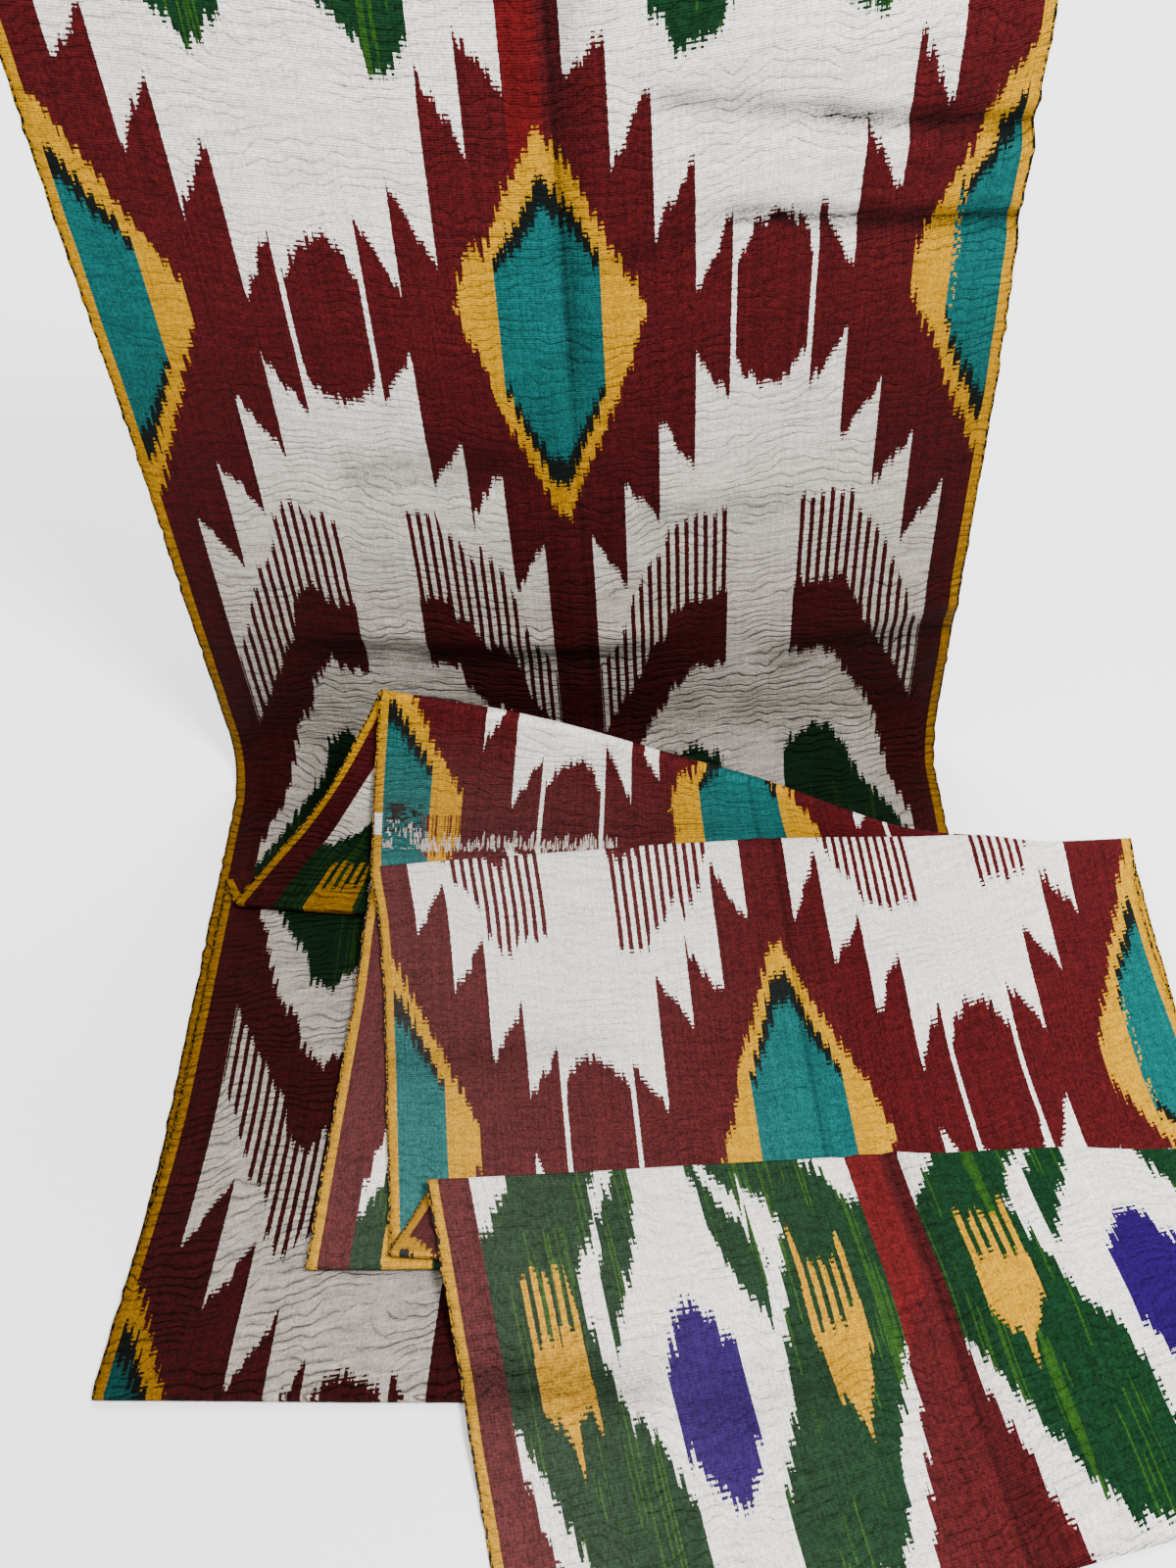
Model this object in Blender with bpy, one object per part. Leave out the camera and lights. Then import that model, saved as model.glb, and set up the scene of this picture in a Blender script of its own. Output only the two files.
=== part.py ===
"""Ikat woven cloth: one long narrow length that hangs, meets the floor and is folded back and forth on itself.

The cloth is a single sheet with no seams. From its top edge it hangs straight down, runs forward along
the floor, folds back, takes a small hidden pleat, stands up in a tent-like ridge that falls away to the
right, and then lies in three more overlapping folds, the last of them turned askew and drawn forward past
all the others.

x runs across the cloth, y away from the viewer, z up, all in metres, with the floor at z = 0. A station is
(x, y, lift): lift is how far the sheet stands above the layers that lie beneath it there.
"""

import math
from collections import namedtuple

import bmesh
import bpy
from mathutils import Vector

CLOTH_WIDTH = 0.42
THICKNESS = 0.0012
LAYER_PITCH = 0.0032            # from the middle of one layer to the middle of the next
HANG_HEIGHT = 0.50
FLOOR_BEND = 0.03               # size of the soft bend where the hanging length meets the floor
EDGE_MARGIN = 0.004             # how far a layer still carries the one above it past its own edge
EDGE_RAMP = 0.05                # how far the layers above take to come down past that edge
COLUMNS = 14
TURN_ROWS = 4
FOOTPRINT_MIDDLE = Vector((0.0812, -0.2472, 0))     # becomes the part's origin

HALF_WIDTH = CLOTH_WIDTH / 2
ACROSS = (0, 0.18, 0.5, 0.78, 1)                    # where a line's five stations lie across the cloth

Line = namedtuple("Line", "left inner middle outer right")
Stretch = namedtuple("Stretch", "name layers_beneath step footprint lines")


def bent(left, middle, right):
    """A line across the cloth that runs straight from each edge to its middle."""
    left, middle, right = Vector(left), Vector(middle), Vector(right)
    return Line(left, left.lerp(middle, 0.36), middle, middle.lerp(right, 0.56), right)


# Every stretch lies between two folds and each of its lines crosses the cloth. layers_beneath counts the
# layers under it, step is the length of a row of faces, and footprint names the two lines between which it
# carries the layers above.
STRETCHES = (
    Stretch("hanging", 0, 0.045, None, (
        bent((-HALF_WIDTH, 0, HANG_HEIGHT), (0, 0, HANG_HEIGHT), (HALF_WIDTH, 0, HANG_HEIGHT)),
        Line((-0.210, 0, 0.36), (-0.134, -0.003, 0.36), (0, 0.001, 0.36), (0.118, -0.003, 0.36),
             (0.210, 0.003, 0.36)),
        Line((-0.210, 0.001, 0.21), (-0.134, 0.002, 0.21), (0, -0.003, 0.21), (0.118, 0.002, 0.21),
             (0.211, -0.002, 0.21)),
        bent((-HALF_WIDTH, 0, FLOOR_BEND), (0, 0, FLOOR_BEND), (HALF_WIDTH, 0, FLOOR_BEND)),
    )),
    Stretch("floor", 0, 0.050, (0, 2), (
        bent((-0.2095, -FLOOR_BEND, 0), (-0.001, -FLOOR_BEND, 0), (0.2065, -FLOOR_BEND, 0)),
        bent((-0.209, -0.250, 0), (-0.004, -0.255, 0), (0.201, -0.260, 0)),
        bent((-0.2155, -0.374, 0), (-0.005, -0.382, 0), (0.206, -0.389, 0)),
    )),
    Stretch("return", 1, 0.035, (0, 2), (
        bent((-0.2155, -0.374, 0), (-0.005, -0.382, 0), (0.206, -0.389, 0)),
        bent((-0.204, -0.220, 0), (0.003, -0.220, 0), (0.210, -0.220, 0)),
        bent((-0.2035, -0.093, 0), (0.001, -0.095, 0), (0.205, -0.104, 0)),
    )),
    Stretch("pleat", 2, 0.020, (0, 1), (
        bent((-0.2035, -0.093, 0), (0.001, -0.095, 0), (0.205, -0.104, 0)),
        bent((-0.1945, -0.111, 0), (0.045, -0.144, 0), (0.280, -0.200, 0)),
    )),
    Stretch("flap", 3, 0.014, (0, 1), (
        bent((-0.1945, -0.111, 0), (0.045, -0.144, 0), (0.280, -0.200, 0)),
        Line((-0.162, -0.086, 0.0225), (-0.098, -0.083, 0), (0.055, -0.084, 0), (0.185, -0.105, 0),
             (0.291, -0.120, 0)),
        Line((-0.1325, -0.075, 0.0575), (-0.070, -0.072, 0.046), (0.067, -0.072, 0.016), (0.192, -0.092, 0),
             (0.2935, -0.108, 0)),
        Line((-0.1008, -0.0595, 0.1095), (-0.029, -0.0590, 0.0872), (0.084, -0.0635, 0.0395),
             (0.200, -0.0870, 0.001), (0.296, -0.0995, 0)),
    )),
    Stretch("ridge front", 4, 0.014, (3, 4), (
        Line((-0.1008, -0.0645, 0.1063), (-0.029, -0.0645, 0.0845), (0.084, -0.0705, 0.0385),
             (0.200, -0.0890, 0.0028), (0.296, -0.0995, 0.0016)),
        Line((-0.1108, -0.0790, 0.051), (-0.036, -0.0790, 0.040), (0.087, -0.0820, 0.016),
             (0.201, -0.0960, 0.0015), (0.296, -0.1060, 0.0012)),
        Line((-0.1187, -0.0910, 0.004), (-0.042, -0.0890, 0.003), (0.090, -0.0890, 0.002),
             (0.202, -0.1020, 0.0005), (0.295, -0.1120, 0.0005)),
        Line((-0.1160, -0.1100, 0), (-0.040, -0.1080, 0), (0.091, -0.1060, 0), (0.202, -0.1120, 0),
             (0.294, -0.1220, 0)),
        bent((-0.128, -0.322, 0), (0.080, -0.327, 0), (0.284, -0.332, 0)),
    )),
    Stretch("second return", 5, 0.014, (0, 1), (
        bent((-0.128, -0.322, 0), (0.080, -0.327, 0), (0.284, -0.332, 0)),
        Line((-0.1170, -0.1045, 0), (-0.041, -0.1010, 0), (0.0955, -0.0965, 0), (0.205, -0.0995, 0.0015),
             (0.2995, -0.0965, 0.0015)),
    )),
    Stretch("middle layer", 6, 0.014, (0, 3), (
        Line((-0.1170, -0.1045, 0.005), (-0.041, -0.1010, 0.005), (0.0955, -0.0965, 0.005),
             (0.205, -0.0995, 0.005), (0.2995, -0.0965, 0.004)),
        bent((-0.1095, -0.140, 0.001), (0.0965, -0.142, 0.002), (0.2925, -0.143, 0.001)),
        bent((-0.1030, -0.195, 0), (0.0985, -0.200, 0.002), (0.2905, -0.190, 0)),
        bent((-0.0895, -0.320, 0), (0.105, -0.336, 0), (0.306, -0.352, 0)),
    )),
    Stretch("third return", 7, 0.014, (0, 1), (
        bent((-0.0895, -0.320, 0), (0.105, -0.336, 0), (0.306, -0.352, 0)),
        bent((-0.0735, -0.2915, 0), (0.128, -0.2880, 0), (0.338, -0.2845, 0)),
    )),
    Stretch("top layer", 8, 0.014, None, (
        bent((-0.0735, -0.2915, 0.004), (0.128, -0.2880, 0.004), (0.338, -0.2845, 0.003)),
        bent((-0.0645, -0.332, 0), (0.134, -0.320, 0.003), (0.344, -0.307, 0)),
        bent((-0.0475, -0.415, 0), (0.147, -0.386, 0.005), (0.361, -0.357, 0)),
        bent((-0.0297, -0.498, 0), (0.161, -0.4565, 0), (0.378, -0.408, 0)),
    )),
)


def slope_at(knots, values, index):
    """The slope of a smooth curve at one knot, level wherever the values turn back."""
    if index == 0:
        return (values[1] - values[0]) / (knots[1] - knots[0])
    if index == len(knots) - 1:
        return (values[-1] - values[-2]) / (knots[-1] - knots[-2])
    before = (values[index] - values[index - 1]) / (knots[index] - knots[index - 1])
    after = (values[index + 1] - values[index]) / (knots[index + 1] - knots[index])
    if before * after <= 0:
        return 0.0
    return 2 * before * after / (before + after)


def smooth_value(knots, values, place):
    """A smooth curve through values that never swings past them."""
    index = 0
    while index < len(knots) - 2 and place > knots[index + 1]:
        index += 1
    span = knots[index + 1] - knots[index]
    share = (place - knots[index]) / span
    rise = span * slope_at(knots, values, index)
    fall = span * slope_at(knots, values, index + 1)
    start, end = values[index], values[index + 1]
    cubic = 2 * (start - end) + rise + fall
    square = 3 * (end - start) - 2 * rise - fall
    return ((cubic * share + square) * share + rise) * share + start


def smooth_point(knots, points, place):
    return Vector(smooth_value(knots, [point[axis] for point in points], place) for axis in range(3))


def smoothstep(share):
    share = min(max(share, 0.0), 1.0)
    return share * share * (3 - 2 * share)


def cover(stretch, x, y):
    """1 where the stretch lies beneath (x, y), easing to 0 past its edges."""
    first, last = (stretch.lines[index] for index in stretch.footprint)
    corners = [Vector(station[:2]) for station in (first[0], first[-1], last[-1], last[0])]
    if (corners[1] - corners[0]).cross(corners[2] - corners[1]) < 0:
        corners.reverse()
    outside = -math.inf
    for corner, following in zip(corners, corners[1:] + corners[:1]):
        edge = (following - corner).normalized()
        outside = max(outside, (Vector((x, y)) - corner).dot(Vector((edge.y, -edge.x))))
    return 1 - smoothstep((outside - EDGE_MARGIN) / EDGE_RAMP)


def level(layers_beneath, x, y):
    """Height of the middle of a layer that lies on the layers beneath it."""
    beneath = [stretch for stretch in STRETCHES if stretch.footprint][:layers_beneath]
    return THICKNESS / 2 + LAYER_PITCH * sum(cover(stretch, x, y) for stretch in beneath)


def stretch_rows(stretch):
    """Rows of points across the cloth, from the stretch's first line to its last."""
    columns = [share / COLUMNS for share in range(COLUMNS + 1)]
    lines = [[smooth_point(ACROSS, line, share) for share in columns] for line in stretch.lines]
    places = [0.0]
    for line, following in zip(lines, lines[1:]):
        lengths = [(b - a).length for a, b in zip(line, following)]
        places.append(places[-1] + sum(lengths) / len(lengths))
    count = max(2, round(places[-1] / stretch.step))
    rows = []
    for number in range(count + 1):
        place = places[-1] * number / count
        row = [smooth_point(places, stations, place) for stations in zip(*lines)]
        for point in row:
            point.z += level(stretch.layers_beneath, point.x, point.y)
        rows.append(row)
    return rows


def turn_rows(before, after):
    """Rows that turn the cloth round from the end of one stretch into the start of the next."""
    rows = [[] for _ in range(TURN_ROWS)]
    for column in range(COLUMNS + 1):
        start, end = before[-1][column], after[0][column]
        leaving = (start - before[-2][column]).normalized()
        arriving = (after[1][column] - end).normalized()
        angle = leaving.angle(arriving)
        handle = (end - start).length * 2 / 3 * math.tan(angle / 4) / math.sin(angle / 2)
        near_start, near_end = start + leaving * handle, end - arriving * handle
        for number, row in enumerate(rows):
            share = (number + 1) / (TURN_ROWS + 1)
            rest = 1 - share
            row.append(start * rest ** 3 + near_start * 3 * rest ** 2 * share
                       + near_end * 3 * rest * share ** 2 + end * share ** 3)
    return rows


def sheet_rows():
    """The middle surface of the whole cloth, row by row from its top edge to its loose end."""
    parts = [stretch_rows(stretch) for stretch in STRETCHES]
    rows = list(parts[0])
    for before, after in zip(parts, parts[1:]):
        rows += turn_rows(before, after) + after
    return [[point - FOOTPRINT_MIDDLE for point in row] for row in rows]


def surface_normal(rows, row, column):
    above, below = rows[max(row - 1, 0)], rows[min(row + 1, len(rows) - 1)]
    across = rows[row][min(column + 1, COLUMNS)] - rows[row][max(column - 1, 0)]
    along = below[column] - above[column]
    return along.cross(across).normalized()


def solid_mesh(rows):
    """Gives the middle surface its thickness: two faces of the cloth, joined all round its edge."""
    shell = bmesh.new()
    faces_of_cloth = []
    for side in (THICKNESS / 2, -THICKNESS / 2):
        faces_of_cloth.append([
            [shell.verts.new(point + surface_normal(rows, row, column) * side)
             for column, point in enumerate(points)]
            for row, points in enumerate(rows)
        ])
    for grid in faces_of_cloth:
        for upper, lower in zip(grid, grid[1:]):
            for column in range(COLUMNS):
                shell.faces.new((upper[column], upper[column + 1], lower[column + 1], lower[column]))
    front, back = faces_of_cloth
    for edge in (0, COLUMNS):
        for row in range(len(rows) - 1):
            shell.faces.new((front[row][edge], front[row + 1][edge], back[row + 1][edge], back[row][edge]))
    for end in (0, -1):
        for column in range(COLUMNS):
            shell.faces.new((front[end][column], front[end][column + 1],
                             back[end][column + 1], back[end][column]))
    bmesh.ops.recalc_face_normals(shell, faces=shell.faces)
    mesh = bpy.data.meshes.new("ikat_cloth")
    shell.to_mesh(mesh)
    shell.free()
    mesh.shade_smooth()
    return mesh


def woven_material():
    material = bpy.data.materials.new("ikat_weave")
    material.use_nodes = True
    shader = material.node_tree.nodes["Principled BSDF"]
    shader.inputs["Base Color"].default_value = (0.20, 0.02, 0.025, 1)
    shader.inputs["Roughness"].default_value = 0.75
    shader.inputs["Metallic"].default_value = 0.0
    return material


def build():
    for leftover in list(bpy.data.objects):
        bpy.data.objects.remove(leftover)
    cloth = bpy.data.objects.new("ikat_cloth", solid_mesh(sheet_rows()))
    cloth.data.materials.append(woven_material())
    bpy.context.scene.collection.objects.link(cloth)


build()
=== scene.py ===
"""Ikat woven cloth, hanging and folded on the floor: the fine sheet, its dyeing, the light and the camera."""

import math
from collections import namedtuple

import bmesh
import bpy
from mathutils import Matrix, Vector, noise


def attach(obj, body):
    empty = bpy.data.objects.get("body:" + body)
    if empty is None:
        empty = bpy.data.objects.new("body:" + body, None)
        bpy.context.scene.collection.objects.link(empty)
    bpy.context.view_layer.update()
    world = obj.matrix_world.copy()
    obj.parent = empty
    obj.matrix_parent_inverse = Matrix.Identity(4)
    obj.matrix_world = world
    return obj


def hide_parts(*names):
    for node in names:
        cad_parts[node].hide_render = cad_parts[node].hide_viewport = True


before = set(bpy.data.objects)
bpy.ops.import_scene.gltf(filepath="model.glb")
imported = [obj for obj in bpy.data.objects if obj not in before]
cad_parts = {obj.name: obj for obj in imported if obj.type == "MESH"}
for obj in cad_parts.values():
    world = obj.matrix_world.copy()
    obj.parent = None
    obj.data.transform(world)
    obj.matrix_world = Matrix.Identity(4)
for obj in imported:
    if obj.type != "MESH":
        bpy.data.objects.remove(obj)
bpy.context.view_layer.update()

# The cloth's own sizes, as in the solids

CLOTH_WIDTH = 0.42
SOLID_THICKNESS = 0.0012
SHEET_THICKNESS = 0.0007
DEEPEST_CREASE = 0.0045
LAYER_PITCH = 0.0032            # from the middle of one layer to the middle of the next
HANG_HEIGHT = 0.50
FLOOR_BEND = 0.03
EDGE_MARGIN = 0.004
EDGE_RAMP = 0.05
COLUMNS = 72
ROW_STEP = 0.0048
TURN_ROWS = 7
FOOTPRINT_MIDDLE = Vector((0.0812, -0.2472, 0))

# How freely each part of the cloth waves
HANGING_FREEDOM = 1.6
TOP_FREEDOM = 1.0
STACK_FREEDOM = 0.5

HALF_WIDTH = CLOTH_WIDTH / 2
ACROSS = (0, 0.18, 0.5, 0.78, 1)

# A line crosses the cloth. Its five stations are (x, y, lift), and dyed says how far along the warp's dyeing
# each of them lies, in metres, from the middle of the hanging length's first waist.

Line = namedtuple("Line", "left inner middle outer right dyed")
Stretch = namedtuple("Stretch", "name layers_beneath footprint lines")


def bent(left, middle, right, dyed):
    """A line across the cloth that runs straight from each edge to its middle."""
    left, middle, right = Vector(left), Vector(middle), Vector(right)
    return Line(left, left.lerp(middle, 0.36), middle, middle.lerp(right, 0.56), right, dyed)


STRETCHES = (
    Stretch("hanging", 0, None, (
        bent((-HALF_WIDTH, 0, HANG_HEIGHT), (0, 0, HANG_HEIGHT), (HALF_WIDTH, 0, HANG_HEIGHT),
             (-0.194, -0.204, -0.222, -0.209, -0.196)),
        Line((-0.210, 0, 0.36), (-0.134, -0.003, 0.36), (0, 0.001, 0.36), (0.118, -0.003, 0.36),
             (0.210, 0.003, 0.36), (-0.054, -0.064, -0.082, -0.069, -0.056)),
        Line((-0.210, 0.001, 0.21), (-0.134, 0.002, 0.21), (0, -0.003, 0.21), (0.118, 0.002, 0.21),
             (0.211, -0.002, 0.21), (0.096, 0.086, 0.068, 0.081, 0.094)),
        bent((-HALF_WIDTH, 0, FLOOR_BEND), (0, 0, FLOOR_BEND), (HALF_WIDTH, 0, FLOOR_BEND),
             (0.276, 0.266, 0.248, 0.261, 0.274)),
    )),
    Stretch("floor", 0, (0, 2), (
        bent((-0.2095, -FLOOR_BEND, 0), (-0.001, -FLOOR_BEND, 0), (0.2065, -FLOOR_BEND, 0),
             (0.323, 0.313, 0.295, 0.308, 0.321)),
        bent((-0.209, -0.250, 0), (-0.004, -0.255, 0), (0.201, -0.260, 0),
             (0.549, 0.540, 0.524, 0.536, 0.547)),
        bent((-0.2155, -0.374, 0), (-0.005, -0.382, 0), (0.206, -0.389, 0),
             (0.686, 0.678, 0.664, 0.676, 0.686)),
    )),
    Stretch("return", 1, (0, 2), (
        bent((-0.2155, -0.374, 0), (-0.005, -0.382, 0), (0.206, -0.389, 0),
             (0.692, 0.677, 0.660, 0.675, 0.690)),
        bent((-0.204, -0.220, 0), (0.003, -0.220, 0), (0.210, -0.220, 0),
             (0.857, 0.845, 0.828, 0.843, 0.855)),
        bent((-0.2035, -0.093, 0), (0.001, -0.095, 0), (0.205, -0.104, 0),
             (1.005, 0.998, 0.985, 0.998, 1.005)),
    )),
    Stretch("pleat", 2, (0, 1), (
        bent((-0.2035, -0.093, 0), (0.001, -0.095, 0), (0.205, -0.104, 0),
             (1.007, 1.001, 0.989, 1.002, 1.010)),
        bent((-0.1945, -0.111, 0), (0.045, -0.144, 0), (0.280, -0.200, 0),
             (1.014, 1.014, 1.085, 1.150, 1.190)),
    )),
    Stretch("flap", 3, (0, 1), (
        bent((-0.1945, -0.111, 0), (0.045, -0.144, 0), (0.280, -0.200, 0),
             (1.016, 1.016, 1.090, 1.155, 1.195)),
        Line((-0.162, -0.086, 0.0225), (-0.098, -0.083, 0), (0.055, -0.084, 0), (0.185, -0.105, 0),
             (0.291, -0.120, 0), (1.070, 1.070, 1.150, 1.200, 1.235)),
        Line((-0.1325, -0.075, 0.0575), (-0.070, -0.072, 0.046), (0.067, -0.072, 0.016), (0.192, -0.092, 0),
             (0.2935, -0.108, 0), (1.130, 1.135, 1.190, 1.235, 1.262)),
        Line((-0.1008, -0.0595, 0.1095), (-0.029, -0.0590, 0.0872), (0.084, -0.0635, 0.0395),
             (0.200, -0.0870, 0.001), (0.296, -0.0995, 0), (1.201, 1.211, 1.236, 1.262, 1.279)),
    )),
    Stretch("ridge front", 4, (3, 4), (
        Line((-0.1008, -0.0645, 0.1063), (-0.029, -0.0645, 0.0845), (0.084, -0.0705, 0.0385),
             (0.200, -0.0890, 0.0028), (0.296, -0.0995, 0.0016), (1.206, 1.216, 1.240, 1.268, 1.282)),
        Line((-0.1108, -0.0790, 0.051), (-0.036, -0.0790, 0.040), (0.087, -0.0820, 0.016),
             (0.201, -0.0960, 0.0015), (0.296, -0.1060, 0.0012), (1.261, 1.263, 1.270, 1.281, 1.292)),
        Line((-0.1187, -0.0910, 0.004), (-0.042, -0.0890, 0.003), (0.090, -0.0890, 0.002),
             (0.202, -0.1020, 0.0005), (0.295, -0.1120, 0.0005), (1.307, 1.300, 1.292, 1.296, 1.300)),
        Line((-0.1160, -0.1100, 0), (-0.040, -0.1080, 0), (0.091, -0.1060, 0), (0.202, -0.1120, 0),
             (0.294, -0.1220, 0), (1.326, 1.320, 1.310, 1.308, 1.312)),
        bent((-0.128, -0.322, 0), (0.080, -0.327, 0), (0.284, -0.332, 0),
             (1.528, 1.526, 1.520, 1.520, 1.520)),
    )),
    Stretch("second return", 5, (0, 1), (
        bent((-0.128, -0.322, 0), (0.080, -0.327, 0), (0.284, -0.332, 0),
             (1.533, 1.531, 1.525, 1.525, 1.525)),
        Line((-0.1170, -0.1045, 0), (-0.041, -0.1010, 0), (0.0955, -0.0965, 0), (0.205, -0.0995, 0.0015),
             (0.2995, -0.0965, 0.0015), (1.748, 1.746, 1.748, 1.771, 1.802)),
    )),
    Stretch("middle layer", 6, (0, 3), (
        Line((-0.1170, -0.1045, 0.005), (-0.041, -0.1010, 0.005), (0.0955, -0.0965, 0.005),
             (0.205, -0.0995, 0.005), (0.2995, -0.0965, 0.004), (1.759, 1.757, 1.759, 1.782, 1.814)),
        bent((-0.1095, -0.140, 0.001), (0.0965, -0.142, 0.002), (0.2925, -0.143, 0.001),
             (1.797, 1.795, 1.797, 1.818, 1.846)),
        bent((-0.1030, -0.195, 0), (0.0985, -0.200, 0.002), (0.2905, -0.190, 0),
             (1.853, 1.852, 1.855, 1.873, 1.893)),
        bent((-0.0895, -0.320, 0), (0.105, -0.336, 0), (0.306, -0.352, 0),
             (1.983, 1.982, 1.986, 2.012, 2.055)),
    )),
    Stretch("third return", 7, (0, 1), (
        bent((-0.0895, -0.320, 0), (0.105, -0.336, 0), (0.306, -0.352, 0),
             (1.988, 1.987, 1.991, 2.017, 2.060)),
        bent((-0.0735, -0.2915, 0), (0.128, -0.2880, 0), (0.338, -0.2845, 0),
             (2.100, 2.099, 2.103, 2.123, 2.137)),
    )),
    Stretch("top layer", 8, None, (
        bent((-0.0735, -0.2915, 0.004), (0.128, -0.2880, 0.004), (0.338, -0.2845, 0.003),
             (2.1085, 2.1075, 2.111, 2.132, 2.146)),
        bent((-0.0645, -0.332, 0), (0.134, -0.320, 0.003), (0.344, -0.307, 0),
             (2.1405, 2.1395, 2.143, 2.164, 2.178)),
        bent((-0.0475, -0.415, 0), (0.147, -0.386, 0.005), (0.361, -0.357, 0),
             (2.2085, 2.2075, 2.211, 2.232, 2.246)),
        bent((-0.0297, -0.498, 0), (0.161, -0.4565, 0), (0.378, -0.408, 0),
             (2.279, 2.278, 2.2815, 2.3025, 2.3165)),
    )),
)

# Creases and soft folds, each from one place on the cloth to another. u is metres from the left selvedge,
# s is metres of dyeing, width is across the crease, and height is towards the side that shows.

Crease = namedtuple("Crease", "from_u from_s to_u to_s width height")
CREASE_RUN_OUT = 0.15           # how far a crease goes past each end, as a share of its length
CREASE_FADE = 0.25
CREASE_WANDER = 0.0015
CREASE_WANDERS = 40             # to the metre
HOLLOW = "hollow"               # how deep in a crease each place lies, from 0 to 1

CREASES = (
    Crease(0.213, -0.22, 0.209, 0.30, 0.006, 0.0014),
    Crease(0.223, -0.22, 0.221, 0.02, 0.007, -0.0026),
    Crease(0.262, -0.098, 0.335, -0.080, 0.005, -0.0030),
    Crease(0.335, -0.080, 0.425, -0.055, 0.005, -0.0042),
    Crease(0.300, -0.042, 0.425, -0.015, 0.005, -0.0042),
    Crease(0.340, -0.070, 0.425, -0.045, 0.010, 0.0026),
    Crease(0.290, -0.120, 0.425, -0.090, 0.012, 0.0022),
    Crease(0.240, -0.030, 0.300, -0.045, 0.007, -0.0018),
    Crease(0.080, 0.190, 0.270, 0.183, 0.010, 0.0032),
    Crease(0.060, 0.206, 0.240, 0.200, 0.010, -0.0028),
    Crease(0.100, 0.085, 0.190, 0.070, 0.012, -0.0020),
    Crease(0.205, 0.150, 0.240, 0.190, 0.016, 0.0020),
    Crease(0.330, 0.205, 0.425, 0.196, 0.010, 0.0028),
    Crease(0.320, 0.222, 0.425, 0.214, 0.010, -0.0024),
    Crease(0.250, 0.110, 0.330, 0.118, 0.010, -0.0016),
    Crease(0.212, 1.75, 0.209, 1.98, 0.007, 0.0012),
    Crease(0.221, 1.75, 0.218, 1.98, 0.007, -0.0008),
    Crease(0.000, 1.880, 0.110, 1.868, 0.010, -0.0012),
    Crease(0.020, 1.930, 0.160, 1.925, 0.010, 0.0008),
    Crease(0.206, 2.10, 0.212, 2.285, 0.007, 0.0022),
    Crease(0.222, 2.10, 0.226, 2.285, 0.007, -0.0018),
    Crease(0.000, 2.176, 0.085, 2.186, 0.009, -0.0028),
    Crease(0.000, 2.196, 0.110, 2.210, 0.010, 0.0014),
    Crease(0.100, 2.200, 0.170, 2.196, 0.010, -0.0012),
    Crease(0.060, 2.255, 0.205, 2.262, 0.012, 0.0012),
)


def slope_at(knots, values, index):
    """The slope of a smooth curve at one knot, level wherever the values turn back."""
    if index == 0:
        return (values[1] - values[0]) / (knots[1] - knots[0])
    if index == len(knots) - 1:
        return (values[-1] - values[-2]) / (knots[-1] - knots[-2])
    before = (values[index] - values[index - 1]) / (knots[index] - knots[index - 1])
    after = (values[index + 1] - values[index]) / (knots[index + 1] - knots[index])
    if before * after <= 0:
        return 0.0
    return 2 * before * after / (before + after)


def smooth_value(knots, values, place):
    """A smooth curve through values that never swings past them."""
    index = 0
    while index < len(knots) - 2 and place > knots[index + 1]:
        index += 1
    span = knots[index + 1] - knots[index]
    share = (place - knots[index]) / span
    rise = span * slope_at(knots, values, index)
    fall = span * slope_at(knots, values, index + 1)
    start, end = values[index], values[index + 1]
    cubic = 2 * (start - end) + rise + fall
    square = 3 * (end - start) - 2 * rise - fall
    return ((cubic * share + square) * share + rise) * share + start


def smooth_point(knots, points, place):
    return Vector([smooth_value(knots, [point[axis] for point in points], place) for axis in range(4)])


def smoothstep(share):
    share = min(max(share, 0.0), 1.0)
    return share * share * (3 - 2 * share)


def footprint_edges(stretch):
    """Corners and outward directions of the area that a stretch covers."""
    first, last = (stretch.lines[index] for index in stretch.footprint)
    corners = [Vector(station[:2]) for station in (first.left, first.right, last.right, last.left)]
    if (corners[1] - corners[0]).cross(corners[2] - corners[1]) < 0:
        corners.reverse()
    edges = []
    for corner, following in zip(corners, corners[1:] + corners[:1]):
        direction = (following - corner).normalized()
        edges.append((corner, Vector((direction.y, -direction.x))))
    return edges


FOOTPRINTS = [footprint_edges(stretch) for stretch in STRETCHES if stretch.footprint]


def level(layers_beneath, x, y):
    """Height of the middle of a layer that lies on the layers beneath it."""
    place = Vector((x, y))
    carried = 0.0
    for edges in FOOTPRINTS[:layers_beneath]:
        outside = max((place - corner).dot(outward) for corner, outward in edges)
        carried += 1 - smoothstep((outside - EDGE_MARGIN) / EDGE_RAMP)
    return SOLID_THICKNESS / 2 + LAYER_PITCH * carried


def stretch_rows(stretch):
    """Rows of (x, y, z, dyed) across the cloth, from the stretch's first line to its last."""
    columns = [share / COLUMNS for share in range(COLUMNS + 1)]
    lines = []
    for line in stretch.lines:
        stations = [(*station, dyed) for station, dyed in zip(line[:5], line.dyed)]
        lines.append([smooth_point(ACROSS, stations, share) for share in columns])
    places = [0.0]
    for line, following in zip(lines, lines[1:]):
        lengths = [(b - a).to_3d().length for a, b in zip(line, following)]
        places.append(places[-1] + sum(lengths) / len(lengths))
    count = max(2, round(places[-1] / ROW_STEP))
    rows = []
    for number in range(count + 1):
        place = places[-1] * number / count
        row = [smooth_point(places, stations, place) for stations in zip(*lines)]
        for point in row:
            point.z += level(stretch.layers_beneath, point.x, point.y)
        rows.append(row)
    return rows


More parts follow.
